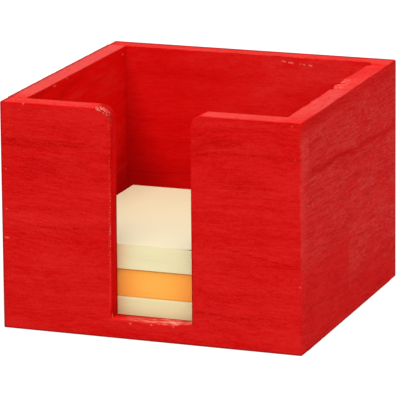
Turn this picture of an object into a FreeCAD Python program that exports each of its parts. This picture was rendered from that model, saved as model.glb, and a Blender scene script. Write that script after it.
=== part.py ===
import FreeCAD, Part
import os
import Sketcher
from FreeCAD import Vector

# An open-topped memo box: five boards, glued and pinned, around three square note pads.
# The origin is the middle of the underside, +Z is up, and the slotted front board faces -Y.

SIZES = [
    ("pad_size", 76.0, "side of the square pads"),
    ("bottom_pad_thickness", 6.1, ""),
    ("middle_pad_thickness", 9.7, ""),
    ("top_pad_thickness", 8.4, ""),
    ("side_room", 7.5, "beside the pads, left and right, when they lie in the middle"),
    ("back_room", 12.7, "behind the pads"),
    ("front_room", 0.3, "between the pads and the front board"),
    ("bottom_pad_right", 0.1, "how far the pad lies to the right of the middle"),
    ("middle_pad_right", 0.3, ""),
    ("top_pad_right", -0.3, ""),
    ("bottom_pad_back", 0.2, "how far the pad lies back from its place at the front"),
    ("middle_pad_back", 0.5, ""),
    ("top_pad_back", 0.0, ""),
    ("wall", 7.0, "thickness of the upright boards"),
    ("base_thickness", 6.2, "thickness of the base board"),
    ("box_height", 77.5, "underside to rim"),
    ("edge_ease", 0.4, "radius sanded on the outer edges"),
    ("slot_width", 29.0, "finger slot, between its upright edges"),
    ("slot_corner", 4.3, "radius where the slot meets the rim"),
    ("sill_lip", 0.2, "floor of the slot above the base board"),
    ("pin_diameter", 1.2, "headless steel pins and their holes"),
    ("pin_length", 20.0, ""),
    ("pin_point", 0.35, "chamfer on the end that is driven in"),
    ("corner_pin_low", 14.0, "underside to the lowest pin of a corner"),
    ("corner_pin_high", 13.5, "rim to the highest pin of a corner"),
    ("end_pin_inset", 32.0, "outside corner to a pin through an end board into the base"),
    ("side_pin_inset", 22.0, "outside corner to a pin through a side board into the base"),
]
CORNER_PINS = 3

doc = FreeCAD.newDocument("MemoBox")
sheet = doc.addObject("Spreadsheet::Sheet", "Sizes")
for row, (alias, number, note) in enumerate(SIZES, start=1):
    sheet.set(f"A{row}", alias)
    sheet.set(f"B{row}", str(number))
    sheet.set(f"C{row}", note)
    sheet.setAlias(f"B{row}", alias)
doc.recompute()

# What more than one piece shares, as expressions on the sheet. The well is the room that the
# pads need, and the boards go round it. Pins are set out from an outside corner of the box.
INNER_WIDTH = "(Sizes.pad_size + 2 * Sizes.side_room)"
INNER_DEPTH = "(Sizes.front_room + Sizes.pad_size + Sizes.back_room)"
BOX_WIDTH = f"({INNER_WIDTH} + 2 * Sizes.wall)"
BOX_DEPTH = f"({INNER_DEPTH} + 2 * Sizes.wall)"
LEFT = f"-{BOX_WIDTH} / 2"
RIGHT = f"{BOX_WIDTH} / 2"
FRONT = f"-{BOX_DEPTH} / 2"
BACK = f"{BOX_DEPTH} / 2"
PIN_BITE = "Sizes.pin_length - Sizes.wall"
PIN_SPAN = "(Sizes.box_height - Sizes.corner_pin_low - Sizes.corner_pin_high)"
PIN_LEVELS = [f"Sizes.corner_pin_low + {PIN_SPAN} * {n / (CORNER_PINS - 1)}" for n in range(CORNER_PINS)]
PIN_COLUMNS = {"left": "Sizes.wall / 2", "right": f"{BOX_WIDTH} - Sizes.wall / 2"}
BASE_LEVEL = "Sizes.base_thickness / 2"
ALONG_END = ["Sizes.end_pin_inset", f"{BOX_WIDTH} - Sizes.end_pin_inset"]
ALONG_SIDE = ["Sizes.side_pin_inset", f"{BOX_DEPTH} - Sizes.side_pin_inset"]


def new_body(label, x, y):
    body = doc.addObject("PartDesign::Body", label)
    place(body, x, y, "0")
    return body


def place(piece, x, y, z):
    """Put the piece's own origin at x, y, z, each an expression."""
    for axis, text in zip("xyz", (x, y, z)):
        piece.setExpression(f"Placement.Base.{axis}", text)


def new_sketch(body, name, plane, offset=None):
    """Start a sketch on an origin plane of the body, or that far along the plane's normal."""
    sketch = body.newObject("Sketcher::SketchObject", f"{body.Label}_{name}")
    support = next(item for item in body.Origin.OriginFeatures if item.Role == plane)
    sketch.AttachmentSupport = [(support, "")]
    sketch.MapMode = "FlatFace"
    if offset:
        sketch.setExpression("AttachmentOffset.Base.z", offset)
    return sketch


def set_distance(sketch, kind, geometry, point, text):
    """Tie a point's DistanceX or DistanceY from the sketch's origin to an expression."""
    number = sketch.addConstraint(Sketcher.Constraint(kind, -1, 1, geometry, point, 1.0))
    sketch.setExpression(f"Constraints[{number}]", text)


def draw_rectangle(sketch, left, right, bottom, top):
    corners = [Vector(1, 1, 0), Vector(2, 1, 0), Vector(2, 2, 0), Vector(1, 2, 0)]
    for start, end in zip(corners, corners[1:] + corners[:1]):
        sketch.addGeometry(Part.LineSegment(start, end))
    for line in range(4):
        sketch.addConstraint(Sketcher.Constraint("Coincident", line, 2, (line + 1) % 4, 1))
        kind = "Vertical" if line % 2 else "Horizontal"
        sketch.addConstraint(Sketcher.Constraint(kind, line))
    for line, x, y in ((0, left, bottom), (2, right, top)):
        set_distance(sketch, "DistanceX", line, 1, x)
        set_distance(sketch, "DistanceY", line, 1, y)


def draw_pin_circles(sketch, centres):
    """Draw a circle of the pins' diameter at each centre, a pair of expressions."""
    for number, (x, y) in enumerate(centres):
        sketch.addGeometry(Part.Circle(Vector(number + 1, number + 1, 0), Vector(0, 0, 1), 0.5))
        diameter = sketch.addConstraint(Sketcher.Constraint("Diameter", number, 1.0))
        sketch.setExpression(f"Constraints[{diameter}]", "Sizes.pin_diameter")
        set_distance(sketch, "DistanceX", number, 3, x)
        set_distance(sketch, "DistanceY", number, 3, y)


def pad_out(body, sketch, length, reverse=False):
    pad = body.newObject("PartDesign::Pad", f"{body.Label}_pad")
    pad.Profile = sketch
    pad.setExpression("Length", length)
    pad.Reversed = reverse
    sketch.Visibility = False


def cut(body, name, sketch, depth, reverse):
    """Cut the sketch to a depth; reverse cuts towards its normal."""
    pocket = body.newObject("PartDesign::Pocket", f"{body.Label}_{name}")
    pocket.Profile = sketch
    pocket.Reversed = reverse
    pocket.setExpression("Length", depth)
    sketch.Visibility = False


def drill(body, name, plane, centres, depth, reverse, offset=None):
    sketch = new_sketch(body, f"{name}_layout", plane, offset)
    draw_pin_circles(sketch, centres)
    cut(body, name, sketch, depth, reverse)


def round_edges(body, name, radius, wanted):
    """Fillet the edges of the body so far for which wanted(edge) is true."""
    doc.recompute()
    base = body.Tip
    names = [f"Edge{n}" for n, edge in enumerate(base.Shape.Edges, start=1) if wanted(edge)]
    fillet = body.newObject("PartDesign::Fillet", f"{body.Label}_{name}")
    fillet.Base = (base, names)
    fillet.setExpression("Radius", radius)
    doc.recompute()


def value(text):
    """What an expression on the sheet comes to."""
    return float(sheet.evalExpression(text.replace("Sizes.", "")))


def lies_at(edge, **limits):
    """True if the whole edge lies at each given coordinate of its body."""
    box = edge.BoundBox
    found = {"x": (box.XMin, box.XMax), "y": (box.YMin, box.YMax), "z": (box.ZMin, box.ZMax)}
    return all(abs(end - at) < 1e-6 for axis, at in limits.items() for end in found[axis])


def end_board(label, y, outer_y, slotted):
    """A full-width board, drilled for its pins. It runs from y towards -Y, and outer_y is its
    outer face in its own frame."""
    body = new_body(label, LEFT, y)
    outline = new_sketch(body, "outline", "XZ_Plane")
    draw_rectangle(outline, "0", BOX_WIDTH, "0", "Sizes.box_height")
    pad_out(body, outline, "Sizes.wall")
    if slotted:
        cut_slot(body)
    corners = [(x, level) for x in PIN_COLUMNS.values() for level in PIN_LEVELS]
    drill(body, "corner_holes", "XZ_Plane", corners, "Sizes.wall", reverse=True)
    lower_edge = [(x, BASE_LEVEL) for x in ALONG_END]
    drill(body, "base_holes", "XZ_Plane", lower_edge, "Sizes.wall", reverse=True)

    def outer(edge):
        pin_hole = edge.isClosed()
        on_face = lies_at(edge, y=outer_y) and not lies_at(edge, z=0) and not pin_hole
        at_ends = [lies_at(edge, x=x, z=value("Sizes.box_height")) for x in (0, value(BOX_WIDTH))]
        return on_face or any(at_ends)

    round_edges(body, "eased", "Sizes.edge_ease", outer)


def cut_slot(body):
    """The finger slot: open at the rim, square at its floor, rounded into the rim."""
    slot = new_sketch(body, "slot_outline", "XZ_Plane")
    sides = [f"({BOX_WIDTH} {sign} Sizes.slot_width) / 2" for sign in "-+"]
    sill = "Sizes.base_thickness + Sizes.sill_lip"
    draw_rectangle(slot, *sides, sill, "Sizes.box_height + Sizes.slot_corner")
    cut(body, "slot", slot, "Sizes.wall", reverse=True)
    round_edges(body, "slot_corners", "Sizes.slot_corner", lambda edge: any(
        lies_at(edge, x=value(x), z=value("Sizes.box_height")) for x in sides))


def side_board(label, x, outer_x):
    """A board between the end boards, drilled at both ends and into the base."""
    body = new_body(label, x, f"{FRONT} + Sizes.wall")
    outline = new_sketch(body, "outline", "YZ_Plane")
    draw_rectangle(outline, "0", INNER_DEPTH, "0", "Sizes.box_height")
    pad_out(body, outline, "Sizes.wall")
    ends = [("Sizes.wall / 2", level) for level in PIN_LEVELS]
    drill(body, "front_holes", "XZ_Plane", ends, PIN_BITE, reverse=False)
    drill(body, "back_holes", "XZ_Plane", ends, PIN_BITE, reverse=True, offset=f"-{INNER_DEPTH}")
    lower_edge = [(f"{y} - Sizes.wall", BASE_LEVEL) for y in ALONG_SIDE]
    drill(body, "base_holes", "YZ_Plane", lower_edge, "Sizes.wall", reverse=True)
    round_edges(body, "eased", "Sizes.edge_ease", lambda edge: lies_at(
        edge, x=outer_x, z=value("Sizes.box_height")))


def base_board(label):
    """The base fits between the four uprights, flush with their lower edges."""
    body = new_body(label, f"{LEFT} + Sizes.wall", f"{FRONT} + Sizes.wall")
    outline = new_sketch(body, "outline", "XY_Plane")
    draw_rectangle(outline, "0", INNER_WIDTH, "0", INNER_DEPTH)
    pad_out(body, outline, "Sizes.base_thickness")
    across = [(f"{x} - Sizes.wall", BASE_LEVEL) for x in ALONG_END]
    drill(body, "front_holes", "XZ_Plane", across, PIN_BITE, reverse=False)
    drill(body, "back_holes", "XZ_Plane", across, PIN_BITE, reverse=True, offset=f"-{INNER_DEPTH}")
    along = [(f"{y} - Sizes.wall", BASE_LEVEL) for y in ALONG_SIDE]
    drill(body, "left_holes", "YZ_Plane", along, PIN_BITE, reverse=True)
    drill(body, "right_holes", "YZ_Plane", along, PIN_BITE, reverse=False, offset=INNER_WIDTH)


def pin_row(label, plane, x, y, centres, reverse):
    """Pins with their flat ends on the plane through x, y; reverse drives them against its normal."""
    body = new_body(label, x, y)
    layout = new_sketch(body, "layout", plane)
    draw_pin_circles(layout, centres)
    pad_out(body, layout, "Sizes.pin_length", reverse)
    doc.recompute()
    pins = body.Tip
    points = [f"Edge{n}" for n, edge in enumerate(pins.Shape.Edges, start=1)
              if edge.isClosed() and not lies_at(edge, **{"y" if plane == "XZ_Plane" else "x": 0})]
    chamfer = body.newObject("PartDesign::Chamfer", f"{label}_points")
    chamfer.Base = (pins, points)
    chamfer.setExpression("Size", "Sizes.pin_point")
    doc.recompute()


def note_pad(label, below):
    """A square pad on the pads below it, laid a little out of line against the front board."""
    pad = doc.addObject("Part::Box", label)
    for side in ("Length", "Width"):
        pad.setExpression(side, "Sizes.pad_size")
    pad.setExpression("Height", f"Sizes.{label}_thickness")
    floor = " + ".join(["Sizes.base_thickness"] + [f"Sizes.{name}_thickness" for name in below])
    front = f"{FRONT} + Sizes.wall + Sizes.front_room + Sizes.{label}_back"
    place(pad, f"Sizes.{label}_right - Sizes.pad_size / 2", front, floor)


end_board("front_panel", f"{FRONT} + Sizes.wall", -value("Sizes.wall"), slotted=True)
end_board("back_panel", BACK, 0, slotted=False)
side_board("left_side", LEFT, 0)
side_board("right_side", f"{RIGHT} - Sizes.wall", value("Sizes.wall"))
base_board("base_panel")

for end, y, reverse in (("front", FRONT, True), ("back", BACK, False)):
    for side, x in PIN_COLUMNS.items():
        column = [(x, level) for level in PIN_LEVELS]
        pin_row(f"{end}_{side}_pins", "XZ_Plane", LEFT, y, column, reverse)
    row = [(x, BASE_LEVEL) for x in ALONG_END]
    pin_row(f"base_pins_{end}", "XZ_Plane", LEFT, y, row, reverse)
for side, x, reverse in (("left", LEFT, False), ("right", RIGHT, True)):
    row = [(y, BASE_LEVEL) for y in ALONG_SIDE]
    pin_row(f"base_pins_{side}", "YZ_Plane", x, FRONT, row, reverse)

stack = []
for label in ("bottom_pad", "middle_pad", "top_pad"):
    note_pad(label, stack)
    stack.append(label)

doc.recompute()
pieces = [item for item in doc.Objects if item.TypeId in ("PartDesign::Body", "Part::Box")]
for item in doc.Objects:
    if "Invalid" in item.State or "Error" in item.State:
        raise RuntimeError(f"{item.Label} could not be worked out")
for piece in pieces:
    if piece.Shape.isNull() or not piece.Shape.isValid():
        raise RuntimeError(f"{piece.Label} has no valid shape")
os.makedirs("parts", exist_ok=True)
for piece in pieces:
    piece.Shape.exportStep(os.path.join("parts", f"{piece.Label}.step"))
    print(piece.Label, len(piece.Shape.Solids), round(piece.Shape.Volume, 2))
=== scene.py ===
import math
import random
import bmesh
import bpy
from mathutils import Matrix, Vector


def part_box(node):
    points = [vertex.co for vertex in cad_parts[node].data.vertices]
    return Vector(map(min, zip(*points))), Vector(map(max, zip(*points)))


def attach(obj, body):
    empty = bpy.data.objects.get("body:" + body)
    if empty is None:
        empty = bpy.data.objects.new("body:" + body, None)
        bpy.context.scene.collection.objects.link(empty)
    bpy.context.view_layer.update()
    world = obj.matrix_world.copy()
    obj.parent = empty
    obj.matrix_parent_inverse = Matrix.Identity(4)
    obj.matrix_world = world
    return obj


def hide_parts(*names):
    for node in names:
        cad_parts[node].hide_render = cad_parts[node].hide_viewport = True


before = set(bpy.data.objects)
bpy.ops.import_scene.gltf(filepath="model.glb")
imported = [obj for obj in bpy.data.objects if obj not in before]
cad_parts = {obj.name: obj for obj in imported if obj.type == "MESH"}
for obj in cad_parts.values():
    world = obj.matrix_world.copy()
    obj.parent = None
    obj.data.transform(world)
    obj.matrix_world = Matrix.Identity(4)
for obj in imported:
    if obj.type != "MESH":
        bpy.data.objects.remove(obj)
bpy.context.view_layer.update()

mm = 0.001
touching = 0.02 * mm
print("frame loaded")


class Wire:  # an output socket, so that sums of sockets read as sums
    def __init__(self, tree, socket=None):
        self.tree = tree
        self.socket = socket

    # kind of node, its settings, its inputs by number or name, and the output to go on with
    def node(self, kind, settings=None, inputs=None, output=0):
        made = self.tree.nodes.new(kind)
        for name, value in (settings or {}).items():
            setattr(made, name, value)
        for name, value in (inputs or {}).items():
            if isinstance(value, Wire):
                self.tree.links.new(value.socket, made.inputs[name])
            else:
                made.inputs[name].default_value = value
        return Wire(self.tree, made.outputs[output] if made.outputs else None)

    def math(self, operation, *values):
        return self.node("ShaderNodeMath", {"operation": operation}, dict(enumerate(values)))

    def __add__(self, other):
        return self.math("ADD", self, other)

    def __sub__(self, other):
        return self.math("SUBTRACT", self, other)

    def __rsub__(self, other):
        return self.math("SUBTRACT", other, self)

    def __mul__(self, other):
        return self.math("MULTIPLY", self, other)

    def __abs__(self):
        return self.math("ABSOLUTE", self)


def ramp(value, low, high, start=0.0, end=1.0):  # smooth step from low to high
    return value.node("ShaderNodeMapRange", {"interpolation_type": "SMOOTHSTEP"},
                      {0: value, 1: low, 2: high, 3: start, 4: end})


def largest(*values):
    found = values[0]
    for value in values[1:]:
        found = found.math("MAXIMUM", found, value)
    return found


def near(value, middle, reach):  # 1 at the middle, 0 at reach on either side
    return ramp(abs(value - middle), reach, 0.0)


def between(value, low, high, soft):
    return ramp(value, low - soft, low + soft) * ramp(value, high + soft, high - soft)


def blendColours(share, first, second):
    return share.node("ShaderNodeMix", {"data_type": "RGBA"}, {0: share, 6: first, 7: second}, 2)


def vectors(operation, first, second, third=(0, 0, 0)):
    return first.node("ShaderNodeVectorMath", {"operation": operation}, {0: first, 1: second, 2: third})


def partsOf(vector):  # its x, y and z
    split = vector.node("ShaderNodeSeparateXYZ", None, {0: vector}).socket.node
    return [Wire(vector.tree, socket) for socket in split.outputs]


# noise on a point; lengths is one size, or one for each axis
def cloud(point, lengths, shift=0.0, detail=2.0, roughness=0.5, output=0):
    if isinstance(lengths, float):
        lengths = (lengths,) * 3
    placed = point.node("ShaderNodeMapping", None,
                        {0: point, 1: (shift, shift * 1.7, shift * 2.3),
                         3: tuple(1 / length for length in lengths)})
    return point.node("ShaderNodeTexNoise", None,
                      {"Vector": placed, "Scale": 1.0, "Detail": detail, "Roughness": roughness}, output)


def sway(point, lengths, shift, amount, detail=1.0, roughness=0.5):  # noise on both sides of zero
    return (cloud(point, lengths, shift, detail, roughness) - 0.5) * amount


def reliefFrom(height, distance):
    return height.node("ShaderNodeBump", None, {"Height": height, "Strength": 0.3, "Distance": distance},
                       "Normal")


def newFinish(name):
    material = bpy.data.materials.new(name)
    material.use_nodes = True
    material.node_tree.nodes.clear()
    wire = Wire(material.node_tree)
    return material, wire.node("ShaderNodeTexCoord", output="Object")


def finishWith(point, inputs, fixed):
    shader = point.node("ShaderNodeBsdfPrincipled", None, {**inputs, **fixed})
    point.node("ShaderNodeOutputMaterial", None, {"Surface": shader})


camera = {"azimuth": 20.417, "elevation": 14.284, "roll": -0.515, "right": -1.607 * mm,
          "up": 34.554 * mm, "distance": 1184.53 * mm, "lens": 311.286, "sensor": 36, "clip": (0.05, 20)}

turn, lift, roll = (math.radians(camera[key]) for key in ("azimuth", "elevation", "roll"))
backward = Vector((math.sin(turn) * math.cos(lift), -math.cos(turn) * math.cos(lift), math.sin(lift)))
level = Vector((math.cos(turn), math.sin(turn), 0))
rightward = level * math.cos(roll) + backward.cross(level) * math.sin(roll)
upward = backward.cross(rightward)
lensData = bpy.data.cameras.new("camera")
lensData.sensor_width = camera["sensor"]
lensData.lens = camera["lens"]
lensData.clip_start, lensData.clip_end = camera["clip"]
cameraObject = bpy.data.objects.new("camera", lensData)
bpy.context.collection.objects.link(cameraObject)
spin = Matrix((rightward, upward, backward)).transposed().to_4x4()
place = backward * camera["distance"] + rightward * camera["right"] + upward * camera["up"]
cameraObject.matrix_world = Matrix.Translation(place) @ spin
bpy.context.scene.camera = cameraObject
bpy.context.scene.view_settings.view_transform = "Standard"


def addLight(name, place, target, size, power):
    data = bpy.data.lights.new(name, "AREA")
    data.shape = "RECTANGLE"
    data.size, data.size_y = size
    data.energy = power
    light = bpy.data.objects.new(name, data)
    light.location = place
    light.rotation_euler = (Vector(target) - Vector(place)).to_track_quat("-Z", "Y").to_euler()
    light.visible_camera = False
    bpy.context.collection.objects.link(light)


softboxes = {"topSoftbox": {"place": (0.12, -0.57, 1.35), "target": (0, 0, 0),
                            "size": (1.4, 1.4), "power": 33.0},
             "sideSoftbox": {"place": (1.25, -0.05, 0.95), "target": (0, 0, 0),
                             "size": (0.8, 0.8), "power": 2.9},
             "rearSoftbox": {"place": (-0.2, 1.3, 1.3), "target": (-0.2, 1.25, 0),
                             "size": (2.6, 1.2), "power": 12.0}}
for name, softbox in softboxes.items():
    addLight(name, **softbox)

sky = {"colour": (1, 1, 1, 1), "strength": 0.58}
world = bpy.data.worlds.new("studio")
world.use_nodes = True
bpy.context.scene.world = world
world.node_tree.nodes["Background"].inputs["Color"].default_value = sky["colour"]
world.node_tree.nodes["Background"].inputs["Strength"].default_value = sky["strength"]

ground = {"size": 8, "drop": 0.02 * mm, "colour": (0.25, 0.25, 0.25, 1), "roughness": 0.9,
          "gloss": 0.1, "glowColour": (1, 1, 1, 1), "glow": 0.72}
bpy.ops.object.select_all(action="DESELECT")
bpy.ops.mesh.primitive_plane_add(size=ground["size"], location=(0, 0, -ground["drop"]))
floor = bpy.context.object
floor.name = "floor"
floorFinish, floorPoint = newFinish("paleFloor")
finishWith(floorPoint, {}, {"Base Color": ground["colour"], "Roughness": ground["roughness"],
                            "Specular IOR Level": ground["gloss"],
                            "Emission Color": ground["glowColour"], "Emission Strength": ground["glow"]})
floor.data.materials.append(floorFinish)
print("camera, floor and lights made")


def choose(piece):
    bpy.ops.object.select_all(action="DESELECT")
    piece.select_set(True)
    bpy.context.view_layer.objects.active = piece


def startCube(name, low, high):
    bpy.ops.object.select_all(action="DESELECT")
    middle = (Vector(low) + Vector(high)) / 2
    size = Vector(high) - Vector(low)
    bpy.ops.mesh.primitive_cube_add(size=1, location=middle, scale=size)
    piece = bpy.context.object
    piece.name = name
    piece.data.name = name
    bpy.ops.object.transform_apply(location=True, rotation=True, scale=True)
    return piece


def openShape(piece, kind):
    choose(piece)
    bpy.ops.object.mode_set(mode="EDIT")
    bpy.ops.mesh.select_mode(type=kind)
    bpy.ops.mesh.select_all(action="DESELECT")


def closeShape():
    bpy.ops.object.mode_set(mode="OBJECT")


def pick(piece, kind, test):
    bpy.ops.mesh.select_all(action="DESELECT")
    shape = bmesh.from_edit_mesh(piece.data)
    for part in getattr(shape, kind):
        if test(part):
            part.select_set(True)
    bmesh.update_edit_mesh(piece.data)


def pickPoints(piece, test):
    pick(piece, "verts", lambda point: test(point.co))


def pickEdges(piece, test):  # test is given an edge's two ends and its angle
    pick(piece, "edges", lambda edge: test(edge.verts[0].co, edge.verts[1].co, edge.calc_face_angle(0)))


def pickFaces(piece, test):  # test is given a face's middle and its normal
    pick(piece, "faces", lambda face: test(face.calc_center_median(), face.normal))


def alongAxis(axis, length):
    return [length if each == axis else 0 for each in range(3)]


def cutAcross(axis, places):
    for place in places:
        bpy.ops.mesh.select_all(action="SELECT")
        bpy.ops.mesh.bisect(plane_co=alongAxis(axis, place), plane_no=alongAxis(axis, 1))


def steps(low, high, step):
    count = max(1, round((high - low) / step))
    return [low + (high - low) * i / count for i in range(1, count)]


def cutCells(low, high, axes, cell):
    for axis in axes:
        cutAcross(axis, steps(low[axis], high[axis], cell))


def same(first, second):
    return abs(first - second) < touching


def settle(piece, body, nodes, finish):
    piece.data.materials.clear()
    piece.data.materials.append(finish)
    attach(piece, body)
    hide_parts(*nodes)


def applyAll(piece):
    choose(piece)
    for modifier in list(piece.modifiers):
        bpy.ops.object.modifier_apply(modifier=modifier.name)


wear = {"size": 1.1 * mm, "contrast": 2.5, "footShare": 0.35}
smoothAngle = math.radians(38)


# rubs the chosen points inwards by a ragged amount
def wearEdges(piece, depth, weightOf):
    name = piece.name + "Wear"
    group = piece.vertex_groups.new(name=name)
    for vertex in piece.data.vertices:
        weight = weightOf(vertex.co, vertex.normal)
        if weight > 0:
            group.add([vertex.index], weight, "REPLACE")
    texture = bpy.data.textures.new(name, "CLOUDS")
    texture.noise_scale = wear["size"]
    texture.noise_depth = 1
    texture.contrast = wear["contrast"]
    texture.use_clamp = True
    worn = piece.modifiers.new(name, "DISPLACE")
    worn.texture = texture
    worn.texture_coords = "LOCAL"
    worn.vertex_group = group.name
    worn.mid_level = 0.0
    worn.strength = -depth
    applyAll(piece)


def smooth(piece):
    choose(piece)
    bpy.ops.object.shade_smooth_by_angle(angle=smoothAngle)


# the frame of all positions: x to the right, y to the back, z up, zero under the middle of the base
box = {"halfWidth": 52.5 * mm, "halfDepth": 51.5 * mm, "height": 77.5 * mm, "wall": 7 * mm,
       "ease": 0.4 * mm, "jointShare": 0.05, "lean": 0.3 * mm, "flatAngle": 0.3}
innerWidth = box["halfWidth"] - box["wall"]
innerDepth = box["halfDepth"] - box["wall"]

# the slot in the front: how far its left cut stands in and leans, at the sill and at the rim,
# and how far the sill's edges rise, in mm, by place along the sill
frontSlot = {"half": 14.5 * mm, "sill": 6.4 * mm, "corner": 4.3 * mm, "slope": 0.0142,
             "leftOuter": (0.4 * mm, 1.35 * mm), "leftInner": (0.31 * mm, 0.73 * mm),
             "sillInner": {-14.5: 0.0, 14.5: 0.1},
             "sillOuter": {-14.5: 0.4, -7: 0.32, -2: 0.1, 4: 0.0, 9: 0.12, 14.5: 1.1}}

# the inner colours are brighter copies of the outer stains, painted light for the inside faces; several
# tints also carry painted shade, light and sheen, as noted where they are used
stains = {"deep": (0.42, 0.0, 0.0, 1), "bright": (0.535, 0.0125, 0.011, 1),
          "innerDeep": (0.51, 0.0, 0.0, 1), "innerBright": (0.62, 0.0055, 0.005, 1),
          "innerPaintedLight": (0.64, 0.002, 0.001, 1), "innerPaleAndPaintedLight": (0.62, 0.026, 0.023, 1),
          "pooledStainAndShade": (0.27, 0.0, 0.0, 1), "line": (0.30, 0.0, 0.0, 1), "sheenHaze": (0.475, 0.035, 0.030, 1),
          "paleWearAndSheen": (0.472, 0.034, 0.0275, 1), "bare": (0.44, 0.047, 0.028, 1), "raw": (0.74, 0.27, 0.21, 1),
          "torn": (0.54, 0.075, 0.066, 1), "dust": (0.46, 0.084, 0.076, 1),
          "endGrain": (0.60, 0.030, 0.026, 1), "edge": (0.26, 0.009, 0.007, 1),
          "shade": (0.16, 0.004, 0.002, 1)}

# sizes of the grain, across it and along it
grainSizes = {"bands": (2.6 * mm, 55 * mm), "fibres": (0.45 * mm, 4.5 * mm), "pores": (0.38 * mm, 1.7 * mm),
              "patches": (8 * mm, 24 * mm), "ripple": (1 * mm, 5 * mm)}
wood = {"darkest": 0.83, "brightest": 1.72, "roughness": 0.72, "gloss": 0.012, "relief": 0.1 * mm}


def grainLengths(along, kind):
    fine, far = grainSizes[kind]
    return tuple(far if axis == along else fine for axis in range(3))


# dark growth lines: height at the middle of the board, rise per length, start, end, thickness and strength
def growthLines(across, along, wave, lines):
    found = []
    for height, rise, start, end, thickness, strength in lines:
        line = near(across - along * rise + wave, height * mm, thickness * mm)
        found.append(line * between(along, start * mm, end * mm, 4 * mm) * strength)
    return largest(*found)


# small uneven oval marks on one face, given in mm as (across, up), (half width, half height)
def marks(point, across, up, found):
    jitter = sway(point, 0.5 * mm, 71, 0.8 * mm)
    spots = []
    for (middle, height), (halfWide, halfHigh) in found:
        sideways = (across + jitter - middle * mm) * (1 / (halfWide * mm))
        upward = (up - jitter - height * mm) * (1 / (halfHigh * mm))
        spots.append(ramp(sideways * sideways + upward * upward, 1.0, 0.15))
    return largest(*spots)


def onTop(z):  # the rims' upper faces
    return ramp(z, 77.1 * mm, 77.4 * mm)


# painted contact shade along the foot, and stain gathered along three upright corners and the far rims
def handledEdgesAndFootShade(x, y, z):
    foot = ramp(z, 0.9 * mm, 0.3 * mm)
    upright = ramp(abs(x), 51.5 * mm, 51.9 * mm) * ramp(abs(y), 49.2 * mm, 50.2 * mm)
    upright = upright * ramp(x - y, 102 * mm, 101 * mm) * ramp(z, 77.4 * mm, 77.1 * mm)
    far = largest(ramp(y, 48.6 * mm, 50.4 * mm), ramp(x, -50.3 * mm, -51.3 * mm))
    return largest(foot, upright, far * ramp(z, 77.0 * mm, 77.3 * mm))


# rims paler on top from uneven wear and painted sheen, and the stain left on their eased front and right
# edges
def rims(x, y, z, uneven):
    rubbedAndSheen = ramp(box["height"] - z, 0.22 * mm, 0.03 * mm) * uneven
    rubbedAndSheen = rubbedAndSheen * largest(ramp(abs(x), 17.5 * mm, 19.5 * mm), ramp(y, -44.8 * mm, -44.4 * mm))
    eased = ramp(z, 76.9 * mm, 77.1 * mm) * ramp(z, 77.48 * mm, 77.36 * mm)
    eased = eased * largest(ramp(x, 51.7 * mm, 52.0 * mm), ramp(y, -51.0 * mm, -51.25 * mm))
    return rubbedAndSheen, eased


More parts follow.
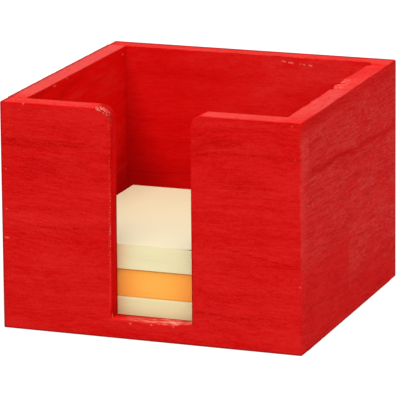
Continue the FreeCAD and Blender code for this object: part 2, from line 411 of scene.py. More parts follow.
def stainedWood(name, board, marksOf=None):
    finish, point = newFinish(name)
    along, shift = board["along"], board["shift"]
    x, y, z = partsOf(point)
    waved = vectors("MULTIPLY_ADD", cloud(point, 50 * mm, shift, 1.0, output=1), (6 * mm,) * 3, point)
    bands = cloud(waved, grainLengths(along, "bands"), shift, 3.0, 0.6)
    fibres = cloud(waved, grainLengths(along, "fibres"), shift + 5, 2.0, 0.65)
    pores = cloud(waved, grainLengths(along, "pores"), shift + 8, 1.0)
    mottle = cloud(point, 0.5 * mm, shift + 11, 2.0, 0.6)
    patches = cloud(point, grainLengths(along, "patches"), shift + 3, 2.0)
    tone = bands * 0.4 + fibres * 0.75 + pores * 0.35 + mottle * 0.6 + patches * 0.45
    share = ramp(tone, wood["darkest"], wood["brightest"])
    grain = tone - (wood["darkest"] + wood["brightest"]) / 2

    inWell = ramp(abs(x) - innerWidth, 0.5 * mm, 0.1 * mm) * ramp(abs(y) - innerDepth, 0.5 * mm, 0.1 * mm)
    inSlot = ramp(abs(x) - frontSlot["half"], 0.5 * mm, 0.2 * mm) * ramp(z, 6 * mm, 8 * mm)
    inSlot = inSlot * ramp(y + box["halfDepth"], 0.0, 0.3 * mm) * ramp(y + innerDepth, 0.5 * mm, 0.0)
    inside = largest(inWell, inSlot)
    # inside the well and the slot the stain is a brighter copy: painted light
    colour = blendColours(inside, blendColours(share, stains["deep"], stains["bright"]),
                          blendColours(share, stains["innerDeep"], stains["innerBright"]))

    # painted shade: darker into the well's corners and towards its floor
    cornerGap = largest(innerWidth - abs(x), innerDepth - abs(y))
    pooledStainAndShade = ramp(cornerGap + z * 0.45, 34 * mm, 18 * mm) * inWell
    wave = sway(point, 24 * mm, shift + 15, 6 * mm)
    wave = wave + sway(waved, grainLengths(along, "ripple"), shift + 17, 0.8 * mm)
    drawn = growthLines(z, (x, y, z)[along], wave, board["lines"]) * ramp(grain, 0.12, -0.12, 0.3, 1.0)
    darkPores = ramp(pores, 0.56, 0.70) * ramp(bands, 0.60, 0.42) * 0.4 * (1 - inside * 0.6)
    rubbedAndSheen, eased = rims(x, y, z, ramp(mottle + fibres * 0.6 + patches * 0.5, 0.85, 1.25, 0.15, 1.0))
    edgeStainAndFootShade = handledEdgesAndFootShade(x, y, z) * ramp(mottle, 0.35, 0.6, 0.6, 0.95)
    covers = [(pooledStainAndShade * 0.5, "pooledStainAndShade"), (largest(drawn, darkPores), "line"), (rubbedAndSheen * 0.9, "paleWearAndSheen"),
              (eased * 0.5, "deep"), (edgeStainAndFootShade, "edge")]
    if marksOf:
        covers += marksOf(point, x, y, z, grain)
    for cover, tint in covers:
        colour = blendColours(cover, colour, stains[tint])

    height = fibres * 0.5 + pores * 0.4 + mottle * 0.25 + bands * 0.4
    finishWith(point, {"Base Color": colour, "Roughness": fibres * 0.15 + wood["roughness"],
                       "Normal": reliefFrom(height, wood["relief"])},
               {"Specular IOR Level": wood["gloss"]})
    return finish


# dark open grain on the right-hand faces, rising a little towards the front
def openGrain(point, y):
    tilted = vectors("ADD", point, vectors("MULTIPLY", y, (0, 0, 0.09)))
    shortGrain = cloud(tilted, (0.6 * mm, 3.4 * mm, 0.5 * mm), 91, 2.0, 0.6)
    longGrain = cloud(tilted, (0.6 * mm, 15 * mm, 0.7 * mm), 93, 2.0, 0.6)
    return largest(ramp(shortGrain, 0.50, 0.62) * 0.85, ramp(longGrain, 0.53, 0.64))


# painted sheen: a grey veil on the right-hand faces, clear at the top edge and low at the front
def sheenVeil(point, y, z):
    cleanTop = ramp(z, 75.5 * mm, 71 * mm, 0.1, 1.0)
    uneven = sway(point, 7 * mm, 35, 3 * mm, 2.0, 0.6)
    low = between(y + uneven, -2.6 * mm, 60 * mm, 1.2 * mm) * ramp(z, 4 * mm, 22 * mm, 0.2, 1.0)
    cleanFoot = largest(ramp(z, 24 * mm, 33 * mm, 0.12, 1.0), low)
    clouds = ramp(cloud(point, (8 * mm, 14 * mm, 6 * mm), 33, 3.0, 0.6), 0.34, 0.66, 0.45, 1.0)
    bend = sway(point, 24 * mm, 75, 6 * mm)
    clearLine = near(z + y * 0.06 + bend, 57 * mm, 2.0 * mm) * ramp(y, -45 * mm, -40 * mm)
    strip = between(y, -51 * mm, -44.2 * mm, 0.5 * mm) * between(z, 60 * mm, 72 * mm, 1.5 * mm)
    veil = largest(cleanTop * cleanFoot * clouds * (1 - clearLine * 0.95), strip * 1.4)
    streaks = cloud(point, (0.5 * mm, 2.6 * mm, 0.4 * mm), 37, 2.0, 0.7) * 0.7
    streaks = streaks + cloud(point, (0.6 * mm, 15 * mm, 0.7 * mm), 39, 3.0, 0.7) * 0.5
    return veil * ramp(y, 50.7 * mm, 49.9 * mm, 0.2, 1.0) * ramp(streaks, 0.49, 0.74, 0.0, 1.0)


# painted sheen and dark open grain on the right-hand faces
def rightFaceMarks(point, x, y, z):
    onRight = ramp(x, 51.6 * mm, 52.1 * mm)
    return [(onRight * sheenVeil(point, y, z), "sheenHaze"), (onRight * openGrain(point, y) * 0.42, "line")]


# outer edges get the full ease, glued joints a hair of it, and hidden ones none
def easeShare(a, b, angle):
    middle = (a + b) / 2

    def liesOn(axis, place):
        return max(abs(abs(end[axis]) - place) for end in (a, b)) < box["lean"] + touching

    if angle < box["flatAngle"]:
        return 0
    if liesOn(1, innerDepth):
        if liesOn(2, box["height"]) and abs(middle.x) < innerWidth:
            return 1
        if liesOn(0, box["halfWidth"]) or liesOn(2, box["height"]):
            return box["jointShare"]
        return 1 if middle.z > frontSlot["sill"] - mm and abs(middle.x) < 20 * mm else 0
    if liesOn(0, innerWidth):
        return 1 if liesOn(2, box["height"]) else 0
    return 1


def sideEaseShare(a, b, angle):  # the side boards' ends stay square
    atEnd = same(abs(a.y), innerDepth) and same(abs(b.y), innerDepth)
    return 0 if atEnd else easeShare(a, b, angle)


def everyEdge(a, b, angle):
    return 1 if angle > box["flatAngle"] else 0


def leanIn(piece):  # the left wall and the back right corner lean in a little towards the top
    openShape(piece, "VERT")
    pickPoints(piece, lambda point: same(point.x, -box["halfWidth"]) and same(point.z, box["height"]))
    bpy.ops.transform.translate(value=(box["lean"], 0, 0))
    pickPoints(piece, lambda point: same(point.x, box["halfWidth"]) and same(point.z, box["height"])
               and point.y > 0)
    bpy.ops.transform.translate(value=(-box["lean"], 0, 0))
    closeShape()


def easeEdges(piece, width=box["ease"], shareOf=easeShare):
    openShape(piece, "EDGE")
    for share in (1, box["jointShare"]):
        pickEdges(piece, lambda a, b, angle: shareOf(a, b, angle) == share)
        bpy.ops.transform.edge_bevelweight(value=share)
    closeShape()
    eased = piece.modifiers.new("ease", "BEVEL")
    eased.limit_method = "WEIGHT"
    eased.width = width
    eased.segments = 2
    applyAll(piece)


# how much each point is worn: eased edges fully, the foot less, and faces and glued joints not at all
def onEasedEdge(point, normal):
    joint = abs(abs(point.y) - innerDepth) < 0.06 * mm and abs(point.x) > innerWidth + 0.2 * mm
    if joint or max(abs(part) for part in normal) > 0.95:
        return 0
    return wear["footShare"] if point.z < mm else 1


def finishBoard(piece, cell, worn):
    low, high = (Vector(corner) for corner in (piece.bound_box[0], piece.bound_box[6]))
    longAxes = [axis for axis in range(3) if high[axis] - low[axis] > 2 * box["wall"]]
    openShape(piece, "FACE")
    cutCells(low, high, longAxes, cell)
    closeShape()
    wearEdges(piece, worn, onEasedEdge)


# along: the axis of the grain; shift: its part of the noise; lines: see growthLines; dots: see marks
frontBoard = {"cell": 0.8 * mm, "worn": 0.2 * mm, "along": 0, "shift": 0,
              "lines": [(65.4, 0.010, -60, -14, 1.6, 0.45), (64.6, 0.02, -60, -22, 0.5, 0.4),
                        (57.5, 0, -44, -22, 5.0, 0.2), (66.8, 0.03, 14, 34, 2.2, 0.5),
                        (65.3, -0.01, 14, 60, 0.7, 0.45), (54.5, 0, 27, 41, 3.5, 0.3),
                        (37.0, 0.004, -60, -14, 0.5, 0.75), (35.6, -0.11, 14, 60, 0.5, 0.5),
                        (10.8, 0.01, 14, 40, 1.3, 0.65), (19.0, 0, 26, 60, 0.4, 0.3),
                        (4.0, -0.05, -52, -30, 0.6, 0.35)],
              "dots": [((-50.6, 41.1), (0.35, 0.3)), ((-50.7, 31.3), (1.1, 0.35)),
                       ((50.4, 65.3), (0.3, 0.2)), ((51.9, 23.2), (0.4, 0.3)),
                       ((-43.8, 77.1), (0.5, 0.35)), ((49.3, 76.2), (0.3, 0.2)),
                       ((-50.4, 54.7), (0.3, 0.25)), ((-7.1, 5.6), (0.55, 0.4)),
                       ((0.3, 5.7), (0.5, 0.4)), ((8.1, 5.9), (0.5, 0.4))],
              "smear": [((-49.8, 7.3), (0.45, 0.9))]}


# the sill: bare wood at its outer edge, most of it at the right, and shade at the back
def sillMarks(point, x, y, z):
    onSill = ramp(z, 8.4 * mm, 8.0 * mm) * ramp(z, 5.7 * mm, 5.9 * mm)
    onSill = onSill * between(x, -13.7 * mm, 14.3 * mm, 0.3 * mm)
    worn = onSill * ramp(y, -51.42 * mm, -51.25 * mm) * ramp(x, -12 * mm, -5 * mm, 0.05, 1.0)
    torn = cloud(point, (4.0 * mm, 0.7 * mm, 0.7 * mm), 4, 3.0, 0.5)
    towardsRight = ramp(ramp(x, -14 * mm, 13 * mm), 0.1, 0.9, 0.22, 0.95)
    raw = worn * ramp(torn, 0.44, 0.64) * towardsRight * ramp(y, -51.0 * mm, -49.6 * mm, 0.6, 1.0)
    shade = onSill * ramp(y, -48.5 * mm, -46 * mm) * ramp(x, 4 * mm, -8 * mm, 0.25, 1.0)
    return [(worn * ramp(torn, 0.34, 0.54, 0.15, 1.0), "bare"), (raw, "raw"), (shade * 0.5, "line")]


def frontMarks(point, x, y, z, grain):
    covers = rightFaceMarks(point, x, y, z)
    endGrain = ramp(x, 52.2 * mm, 52.45 * mm) * ramp(y, -44 * mm, -50.5 * mm) * ramp(z, 74 * mm, 70 * mm)
    covers.append((endGrain * ramp(z, 20 * mm, 36 * mm, 0.1, 1.0) * 0.35, "endGrain"))

    # darker stain round the slot's left upper corner
    sideways = x - (frontSlot["leftOuter"][1] - frontSlot["half"] - frontSlot["corner"])
    upward = z - (box["height"] - frontSlot["corner"])
    apart = sideways * sideways + upward * upward
    fromMiddle = apart.math("SQRT", apart)
    rounded = near(fromMiddle, frontSlot["corner"], 1.1 * mm) * ramp(z, 72 * mm, 75 * mm)
    covers.append((rounded * ramp(x, -19.2 * mm, -18.0 * mm) * 0.92, "line"))
    covers += sillMarks(point, x, y, z)

    # the slot's left cut: painted shade at its foot, painted light above that
    atCut = x - z * frontSlot["slope"]
    leftSide = near(atCut, -14.0 * mm, 0.8 * mm)
    footShade = leftSide * ramp(z, 12 * mm, 8 * mm) * ramp(y, -50.5 * mm, -48 * mm)
    glow = leftSide * ramp(z, 30 * mm, 25 * mm) * ramp(z, 9 * mm, 12 * mm) * ramp(y, -48.8 * mm, -50.8 * mm)
    covers += [(footShade * 0.45, "line"), (glow * 0.7, "innerPaleAndPaintedLight")]

    # shade at the back of the slot, and beside its right edge
    behind = ramp(abs(x), 14.9 * mm, 14.6 * mm) * ramp(z, 52 * mm, 44 * mm) * ramp(z, 5.8 * mm, 6.0 * mm)
    behind = behind * ramp(y, -45.9 * mm, -45.2 * mm)
    beside = near(x, 14.7 * mm, 0.5 * mm) * ramp(y, -50.8 * mm, -51.2 * mm) * ramp(z, 50 * mm, 44 * mm)
    covers += [(behind * 0.8, "shade"), (beside * ramp(z, 6.6 * mm, 7.8 * mm) * 0.65, "shade")]

    # rough dark cut faces, nicked near the top
    cut = largest(leftSide * ramp(z, 74 * mm, 72 * mm),
                  near(fromMiddle, frontSlot["corner"], 0.8 * mm) * ramp(z, 72 * mm, 74 * mm)
                  * ramp(x, -18 * mm, -17 * mm))
    cut = cut * ramp(y, -51.2 * mm, -50.9 * mm) * ramp(y, -47.6 * mm, -49.4 * mm) * ramp(z, 7 * mm, 9 * mm)
    rough = ramp(cloud(point, (0.6 * mm, 0.6 * mm, 0.5 * mm), 14, 2.0, 0.6), 0.44, 0.58)
    nicked = largest(near(atCut, -14.3 * mm, 1.5 * mm) * ramp(z, 73 * mm, 71 * mm),
                     near(fromMiddle, frontSlot["corner"], 1.5 * mm) * ramp(z, 71 * mm, 73 * mm)
                     * ramp(x, -17.5 * mm, -16 * mm))
    nicked = nicked * ramp(z, 54 * mm, 62 * mm) * ramp(y, -48 * mm, -50.4 * mm)
    nicked = nicked * ramp(cloud(point, 0.55 * mm, 16, 1.0), 0.5, 0.62)
    covers += [(cut * rough * 0.7, "line"), (nicked * 0.8, "line")]

    patchy = ramp(cloud(point, 4 * mm, 12, 1.0), 0.36, 0.58, 0.4, 1.0)
    dusty = onTop(z) * between(x, 17.5 * mm, 46 * mm, 2 * mm) * patchy
    covers.append((dusty * 0.16, "dust"))

    # bare wood: flecks along the left cut, chips at its rounded corner, dots, a smear at the cut's foot
    onFront = ramp(y, -50.2 * mm, -51.2 * mm)
    flecks = ramp(cloud(point, 0.4 * mm, 2, 1.0), 0.56, 0.64)
    flecked = near(atCut, -14.15 * mm, 0.8 * mm) * onFront * flecks * patchy
    flecked = flecked * ramp(z, 23 * mm, 30 * mm, 0.06, 1.0) * ramp(z, 56 * mm, 48 * mm, 0.25, 1.0)
    chipped = near(fromMiddle, 4.2 * mm, 1.3 * mm) * ramp(x, -18.8 * mm, -18.0 * mm)
    chipped = chipped * ramp(cloud(point, 0.42 * mm, 6, 1.0), 0.53, 0.63)
    chipped = chipped * ramp(y, -47.5 * mm, -50.0 * mm, 0.03, 1.0)
    chipped = chipped * largest(ramp(z, 74.6 * mm, 75.8 * mm), ramp(x, -14.4 * mm, -13.8 * mm) * 0.12)
    dots = marks(point, x, z, frontBoard["dots"]) * onFront
    smear = marks(point, y, z, frontBoard["smear"]) * near(x, -14.05 * mm, 0.6 * mm)
    covers.append((largest(flecked * 0.85, chipped * 0.8, dots * 0.25, smear * 0.5), "raw"))
    return covers


def makeFrontBoard():
    low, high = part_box("front_panel")
    high.z = box["height"]
    half, sill = frontSlot["half"], frontSlot["sill"]
    piece = startCube("frontBoard", low, high)
    openShape(piece, "FACE")
    cutAcross(0, [-innerWidth, innerWidth])
    cutAcross(0, [across * mm for across in frontSlot["sillOuter"]])
    cutAcross(2, [sill])
    pickFaces(piece, lambda middle, normal: abs(middle.x) < half and middle.z > sill + mm)
    bpy.ops.mesh.delete(type="FACE")
    bpy.ops.mesh.select_mode(type="EDGE")
    pickEdges(piece, lambda a, b, angle: min(a.z, b.z) > sill - 0.1 * mm and same(a.y, b.y)
              and max(abs(a.x), abs(b.x)) < half + 0.1 * mm)
    bpy.ops.mesh.bridge_edge_loops()
    bpy.ops.mesh.select_mode(type="VERT")
    for depth, rises in ((high.y, frontSlot["sillInner"]), (low.y, frontSlot["sillOuter"])):
        for across, rise in rises.items():  # the sill's uneven edges
            pickPoints(piece, lambda point: same(point.y, depth) and same(point.x, across * mm)
                       and same(point.z, sill))
            bpy.ops.transform.translate(value=(0, 0, rise * mm))
    for depth, shifts in ((low.y, frontSlot["leftOuter"]), (high.y, frontSlot["leftInner"])):
        for height, shift in zip((sill, high.z), shifts):  # the left side was cut askew
            pickPoints(piece, lambda point: same(point.y, depth) and same(point.x, -half)
                       and abs(point.z - height) < mm)
            bpy.ops.transform.translate(value=(shift, 0, 0))
    bpy.ops.mesh.select_mode(type="EDGE")
    pickEdges(piece, lambda a, b, angle: same(a.z, high.z) and same(b.z, high.z) and not same(a.y, b.y)
              and abs(a.x) < half + mm)
    bpy.ops.mesh.bevel(offset=frontSlot["corner"], offset_type="OFFSET", segments=12, affect="EDGES")
    closeShape()
    leanIn(piece)
    easeEdges(piece)
    finishBoard(piece, frontBoard["cell"], frontBoard["worn"])
    smooth(piece)
    stain = stainedWood("frontStain", frontBoard, frontMarks)
    settle(piece, "box", ["front_panel"], stain)


makeFrontBoard()
print("front board made")


# chips: see chipRim
sideBoards = {"cell": 0.8 * mm, "worn": 0.2 * mm, "chipCell": 0.4 * mm}
backBoard = {"along": 0, "shift": 20,
             "lines": [(69, 0.01, -44, 44, 0.6, 0.15), (58, -0.02, -44, 44, 0.5, 0.15),
                       (33, 0.02, -50, 50, 0.5, 0.4)],
             "chips": [(38.5, 5.0, 0.2)],
             "dots": [((13.6, 75.7), (0.9, 0.35)), ((16.2, 75.3), (1.2, 0.4)), ((19.7, 75.1), (0.5, 0.25)),
                      ((20.9, 75.0), (0.5, 0.25)), ((23.4, 74.8), (0.8, 0.45))]}
leftBoard = {"worn": 0.07 * mm, "along": 1, "shift": 40,
             "lines": [(55, 0.02, -50, 50, 0.8, 0.3), (24, -0.03, -50, 50, 0.5, 0.5)],
             "dots": [((41.7, 74.9), (0.6, 0.5)), ((-20.5, 76.5), (1.6, 0.3)), ((-9.4, 76.8), (0.6, 0.25))]}
rightBoard = {"along": 1, "shift": 60,
              "lines": [(57, -0.06, -52, 52, 1.7, 0.6), (74, -0.01, -52, 52, 2.5, 0.4),
                        (68, -0.05, -30, 52, 0.9, 0.45), (64, -0.09, -20, 52, 0.6, 0.4),
                        (48, -0.06, -52, 20, 0.6, 0.35), (26, 0.02, -52, -4, 0.7, 0.5),
                        (12, -0.04, -52, 40, 0.7, 0.4)],
              "chips": [(1.0, 1.6, 0.45), (5.2, 2.0, -0.3), (9.0, 1.3, 0.35), (16.5, 7.0, -0.38),
                        (41.2, 2.4, 0.5)]}


def makeBoard(name, node, shareOf=sideEaseShare, worn=sideBoards["worn"]):
    low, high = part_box(node)
    piece = startCube(name, low, high)
    openShape(piece, "FACE")
    cutAcross(0, [-innerWidth, innerWidth])
    closeShape()
    leanIn(piece)
    easeEdges(piece, box["ease"], shareOf)
    finishBoard(piece, sideBoards["cell"], worn)
    return piece


# splintered places on a rim's inner edge: middle along it, half length and depth in mm,
# where a depth below zero stands out into the well
def chipRim(piece, board):
    along = board["along"]
    across = 1 - along
    inner = (innerWidth, innerDepth)[across]
    for middle, halfLength, depth in board["chips"]:
        openShape(piece, "FACE")
        cutAcross(along, steps((middle - halfLength) * mm, (middle + halfLength) * mm,
                               sideBoards["chipCell"]))
        bpy.ops.mesh.select_mode(type="VERT")
        pickPoints(piece, lambda point: point[across] < inner + 0.3 * mm
                   and point.z > box["height"] - 0.5 * mm
                   and abs(point[along] - middle * mm) < halfLength * mm * 0.45)
        shift = alongAxis(across, depth * mm)
        shift[2] = -max(depth, 0) * mm * 0.6
        bpy.ops.transform.translate(value=shift, use_proportional_edit=True,
                                    proportional_edit_falloff="SMOOTH",
                                    proportional_size=halfLength * mm * 0.8)
        closeShape()


def backMarks(point, x, y, z, grain):
    # painted light and sheen: the inner back paler towards its upper right
    veil = ramp(cloud(point, (12 * mm, 12 * mm, 5 * mm), 47, 3.0), 0.35, 0.7, 0.35, 1.0)
    upper = ramp(x, -34 * mm, 24 * mm, 0.25, 1.0) * ramp(z, 48 * mm, 68 * mm, 0.3, 1.0)
    upper = upper * near(y, innerDepth, 0.5 * mm) * veil * ramp(grain, -0.15, 0.15, 0.4, 0.8)
    dots = marks(point, x, z, backBoard["dots"]) * near(y, innerDepth, 0.4 * mm)
    return rightFaceMarks(point, x, y, z) + [(upper * 0.8, "innerPaleAndPaintedLight"), (dots * 0.45, "raw")]


back = makeBoard("backBoard", "back_panel", easeShare)
chipRim(back, backBoard)
smooth(back)
settle(back, "box", ["back_panel"], stainedWood("backStain", backBoard, backMarks))


def leftMarks(point, x, y, z, grain):
    inner = near(x, -innerWidth, 0.4 * mm)
    broad = cloud(point, (6 * mm, 26 * mm, 4 * mm), 46, 2.0, 0.6)
    small = cloud(point, (0.9 * mm, 1.3 * mm, 0.6 * mm), 44, 2.0, 0.7)
    dusty = onTop(z) * ramp(x, -51.9 * mm, -51.2 * mm) * ramp(y, -44 * mm, -34 * mm)
    # painted light: the inner face brighter towards the top; the other tints are uneven stain and flecks
    return [(inner * ramp(z, 20 * mm, 60 * mm) * 0.85, "innerPaintedLight"),
            (inner * ramp(broad, 0.48, 0.3) * 0.25, "pooledStainAndShade"),
            (inner * ramp(broad, 0.5, 0.7) * 0.2, "innerPaleAndPaintedLight"),
            (inner * ramp(small, 0.54, 0.72) * 0.12, "innerPaleAndPaintedLight"),
            (inner * ramp(small, 0.46, 0.3) * 0.15, "pooledStainAndShade"),
            (dusty * ramp(small, 0.3, 0.6, 0.15, 0.4), "dust"),
            (marks(point, y, z, leftBoard["dots"]) * inner * 0.3, "raw")]


left = makeBoard("leftBoard", "left_side", sideEaseShare, leftBoard["worn"])
smooth(left)
settle(left, "box", ["left_side"], stainedWood("leftStain", leftBoard, leftMarks))


def rightMarks(point, x, y, z, grain):
    onRim = ramp(box["height"] - z, 1.5 * mm, 0.6 * mm)
    splinters = cloud(point, (0.9 * mm, 2.4 * mm, 1.2 * mm), 66, 3.0, 0.65)
    torn = onRim * between(y, 1 * mm, 15 * mm, 2 * mm) * ramp(splinters, 0.44, 0.6)
    # wear and painted sheen: the right rim's top greyer in uneven patches
    rubbedAndSheen = ramp(cloud(point, (1.6 * mm, 9 * mm, 1 * mm), 68, 3.0, 0.5), 0.36, 0.66, 0.35, 1.0)
    rubbedAndSheen = rubbedAndSheen * onTop(z) * ramp(y, 8 * mm, -4 * mm, 0.12, 1.0)
    return rightFaceMarks(point, x, y, z) + [
        (rubbedAndSheen * ramp(y, -50 * mm, -20 * mm, 0.18, 0.38), "dust"),
        (torn * ramp(x, 49.8 * mm, 47.0 * mm), "torn")]


right = makeBoard("rightBoard", "right_side")
chipRim(right, rightBoard)
smooth(right)
settle(right, "box", ["right_side"], stainedWood("rightStain", rightBoard, rightMarks))

base = {"ease": 0.1 * mm, "cell": 3 * mm, "along": 0, "shift": 80,
        "lines": [(3, 0, -1, 1, 0.1, 0.1)]}  # one faint line
baseLow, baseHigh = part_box("base_panel")
baseBoard = startCube("baseBoard", baseLow, baseHigh)
easeEdges(baseBoard, base["ease"], everyEdge)
openShape(baseBoard, "FACE")
cutCells(baseLow, baseHigh, (0, 1), base["cell"])
closeShape()
smooth(baseBoard)
settle(baseBoard, "box", ["base_panel"], stainedWood("baseStain", base))
print("boards made")


# pins, driven just under the face and stained over
pin = {"radius": 0.6 * mm, "length": 19.6 * mm, "point": 0.35 * mm, "sunk": 0.3 * mm, "sides": 16,
       "high": (14 * mm, 39 * mm, 64 * mm), "column": 49 * mm, "baseHeight": 3.1 * mm,
       "baseAcross": 20.5 * mm, "baseAlong": 29.5 * mm,
       "tones": ((0.42, 0.42, 0.43, 1), (0.60, 0.60, 0.61, 1)), "roughness": 0.3}


def steelFinish():
    finish, point = newFinish("pinSteel")
    drawn = cloud(point, (0.2 * mm, 3 * mm, 0.2 * mm), 1, 2.0)
    finishWith(point, {"Base Color": blendColours(drawn, *pin["tones"]),
                       "Roughness": drawn * 0.2 + pin["roughness"]}, {"Metallic": 1.0})
    return finish


def startPin():  # lies along y, its head to the front
    bpy.ops.object.select_all(action="DESELECT")
    bpy.ops.mesh.primitive_cylinder_add(vertices=pin["sides"], radius=pin["radius"], depth=pin["length"],
                                        rotation=(math.radians(90), 0, 0),
                                        location=(0, pin["sunk"] + pin["length"] / 2, 0))
    made = bpy.context.object
    bpy.ops.object.transform_apply(location=True, rotation=True, scale=True)
    openShape(made, "FACE")
    pickFaces(made, lambda middle, normal: normal.y > 0.9)
    bpy.ops.mesh.inset(thickness=pin["point"])
    bpy.ops.transform.translate(value=(0, pin["point"], 0))
    closeShape()
    return made


def addPins(firstPin, name, node, places, turn, finish):
    copies = []
    for place in places:
        copy = firstPin.copy()
        copy.data = firstPin.data.copy()
        bpy.context.collection.objects.link(copy)
        copy.rotation_euler = (0, 0, math.radians(turn))
        copy.location = place
        copies.append(copy)
    choose(copies[0])
    for copy in copies:
        copy.select_set(True)
    bpy.ops.object.join()
    row = bpy.context.object
    bpy.ops.object.transform_apply(location=True, rotation=True, scale=True)
    row.name = name
    smooth(row)
    settle(row, "box", [node], finish)


firstPin = startPin()
pinSteel = steelFinish()
faceX, faceY = box["halfWidth"], box["halfDepth"]
for name, node, side, end, turn in (
        ("frontLeftPins", "front_left_pins", -1, -1, 0), ("frontRightPins", "front_right_pins", 1, -1, 0),
        ("backLeftPins", "back_left_pins", -1, 1, 180), ("backRightPins", "back_right_pins", 1, 1, 180)):
    places = [(side * pin["column"], end * faceY, height) for height in pin["high"]]
    addPins(firstPin, name, node, places, turn, pinSteel)
for name, node, end, turn in (("basePinsFront", "base_pins_front", -1, 0),
                              ("basePinsBack", "base_pins_back", 1, 180)):
    places = [(side * pin["baseAcross"], end * faceY, pin["baseHeight"]) for side in (-1, 1)]
    addPins(firstPin, name, node, places, turn, pinSteel)
for name, node, side, turn in (("basePinsLeft", "base_pins_left", -1, -90),
                               ("basePinsRight", "base_pins_right", 1, 90)):
    places = [(side * faceX, end * pin["baseAlong"], pin["baseHeight"]) for end in (-1, 1)]
    addPins(firstPin, name, node, places, turn, pinSteel)
bpy.data.objects.remove(firstPin)
print("pins made")


# memo pads, each a stack of thin bundles of sheets that slip by a few hundredths of a millimetre
stack = {"bundle": 0.42 * mm, "slip": 0.022 * mm, "bigSlip": 0.04 * mm, "bigShare": 0.12, "gap": 0.01 * mm}
topLeaf = {"cell": 1.5 * mm, "lift": 2.0 * mm, "reach": 32 * mm, "thickness": 0.2 * mm}
paper = {"roughness": 0.7, "gloss": 0.15, "relief": 0.05 * mm, "reflected": (1.0, 0.42, 0.12, 1)}

# setBack: how far the lowest and the highest bundle stand back; sheet: two tones and the one at the back,
# which on the top pad is a painted red reflection from the walls; the blush, a painted red reflection, and
# the leaf gap, painted shade under the leaves: share and tone
bottomPad = {"paper": "palePaper", "shift": 60, "seed": 3, "setBack": (0.0, 0.1 * mm),
             "sheet": ((0.60, 0.55, 0.33, 1), (0.64, 0.60, 0.38, 1), (0.60, 0.55, 0.33, 1)),
             "cutEdge": ((0.68, 0.65, 0.35, 1), (0.74, 0.73, 0.42, 1))}
middlePad = {"paper": "orangePaper", "shift": 30, "seed": 5, "setBack": (0.2 * mm, 0.12 * mm),
             "sheet": ((0.70, 0.28, 0.05, 1), (0.72, 0.30, 0.06, 1), (0.70, 0.28, 0.05, 1)),
             "cutEdge": ((0.81, 0.365, 0.048, 1), (0.86, 0.42, 0.078, 1)),
             "reflectedBlush": (0.7, (0.86, 0.30, 0.045, 1))}
topPad = {"paper": "creamPaper", "shift": 0, "seed": 8, "setBack": (0.0, 0.0),
          "sheet": ((0.53, 0.505, 0.34, 1), (0.555, 0.53, 0.365, 1), (0.53, 0.475, 0.30, 1)),
          "cutEdge": ((0.66, 0.61, 0.35, 1), (0.71, 0.68, 0.42, 1)),
          "leafGapShade": (0.9, (0.12, 0.08, 0.04, 1))}


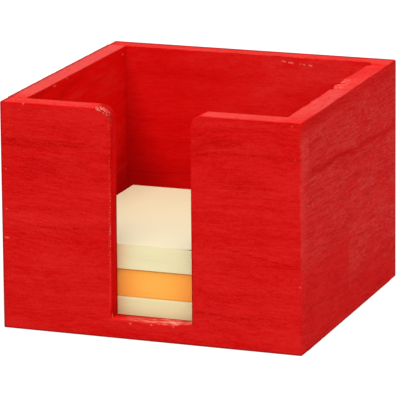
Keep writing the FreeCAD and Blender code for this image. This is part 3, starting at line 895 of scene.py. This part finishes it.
def paperFinish(pad):
    finish, point = newFinish(pad["paper"])
    shift = pad["shift"]
    x, y, z = partsOf(point)
    layers = cloud(point, (45 * mm, 45 * mm, 0.16 * mm), shift, 3.0, 0.7)
    tooth = cloud(point, 0.6 * mm, shift + 2, 3.0)
    broad = cloud(point, (22 * mm, 22 * mm, 6 * mm), shift + 4, 2.0)
    facing = partsOf(point.node("ShaderNodeNewGeometry", output="Normal"))
    flat = ramp(abs(facing[2]), 0.5, 0.9)
    edgeTone = blendColours(ramp(layers * 0.8 + broad * 0.5, 0.35, 0.95), *pad["cutEdge"])
    if "reflectedBlush" in pad:  # painted red reflection from the wood: warmer away from the middle
        share, tint = pad["reflectedBlush"]
        edgeTone = blendColours(ramp(abs(x + 1.5 * mm), 2 * mm, 13 * mm) * share, edgeTone, tint)
    darker, lighter, reflectedAtBack = pad["sheet"]
    sheetTone = blendColours(ramp(tooth * 0.4 + broad * 0.5, 0.25, 0.65), darker, lighter)
    # painted red reflection from the walls: the sheet warmer towards the back
    sheetTone = blendColours(ramp(y, -40 * mm, 25 * mm), sheetTone, reflectedAtBack)
    tone = blendColours(flat, edgeTone, sheetTone)
    if "leafGapShade" in pad:  # painted shade under the raised leaves
        share, tint = pad["leafGapShade"]
        gap = between(z, 30.12 * mm, 30.21 * mm, 0.03 * mm) * ramp(x, 9 * mm, 14 * mm)
        tone = blendColours(gap * ramp(x, 20 * mm, 15 * mm) * share, tone, tint)

    # painted red reflection: a warm tint on the fronts, beside the slot's left cut
    reflected = ramp(x, -9.5 * mm, -14 * mm) * ramp(x, -18 * mm, -14.5 * mm)
    reflected = reflected * ramp(y, -43.4 * mm, -43.9 * mm) * (1 - flat)
    tone = blendColours(reflected * 0.2, tone, paper["reflected"])

    relief = reliefFrom(layers * (1 - flat) + tooth * 0.2, paper["relief"])
    finishWith(point, {"Base Color": tone, "Roughness": tooth * 0.2 + paper["roughness"], "Normal": relief},
               {"Specular IOR Level": paper["gloss"]})
    return finish


def shrinkSides(piece, amount):  # moves the four sides in
    openShape(piece, "FACE")
    for axis in (0, 1):
        for side in (-1, 1):
            pickFaces(piece, lambda middle, normal: normal[axis] * side > 0.9)
            bpy.ops.transform.translate(value=alongAxis(axis, -side * amount))
    closeShape()


def startLeaves(low, high):  # the last sheets curl up a little at the right front corner
    leaf = startCube("leaf", (low.x, low.y, high.z - topLeaf["thickness"]), high)
    openShape(leaf, "FACE")
    cutCells(low, high, (0, 1), topLeaf["cell"])
    bpy.ops.mesh.select_mode(type="VERT")
    pickPoints(leaf, lambda point: point.x > high.x - mm and point.y < low.y + mm)
    bpy.ops.transform.translate(value=(0, 0, topLeaf["lift"]), use_proportional_edit=True,
                                proportional_edit_falloff="SMOOTH", proportional_size=topLeaf["reach"])
    closeShape()
    return leaf


def makePad(name, node, pad, leafed=False):
    low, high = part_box(node)
    draw = random.Random(pad["seed"])
    stackTop = high.z - topLeaf["thickness"] - stack["gap"] if leafed else high.z
    count = round((stackTop - low.z) / stack["bundle"])
    rise = (stackTop - low.z) / count
    first = startCube(name, low, (high.x, high.y, low.z + rise - stack["gap"]))
    parts = [first]
    for index in range(1, count):
        choose(first)
        bpy.ops.object.duplicate(linked=False)
        slip = stack["bigSlip"] if draw.random() < stack["bigShare"] else stack["slip"]
        bpy.ops.transform.translate(value=(draw.uniform(-slip, slip), draw.uniform(-slip, slip),
                                           index * rise))
        parts.append(bpy.context.object)
    footBack, topBack = pad["setBack"]
    shrinkSides(first, footBack)
    shrinkSides(parts[-1], topBack)
    if leafed:
        parts.append(startLeaves(low, high))
    choose(first)
    for part in parts:
        part.select_set(True)
    bpy.ops.object.join()
    bpy.ops.object.transform_apply(location=True, rotation=True, scale=True)
    settle(first, node, [node], paperFinish(pad))


makePad("bottomPad", "bottom_pad", bottomPad)
makePad("middlePad", "middle_pad", middlePad)
makePad("topPad", "top_pad", topPad, True)
print("pads made")
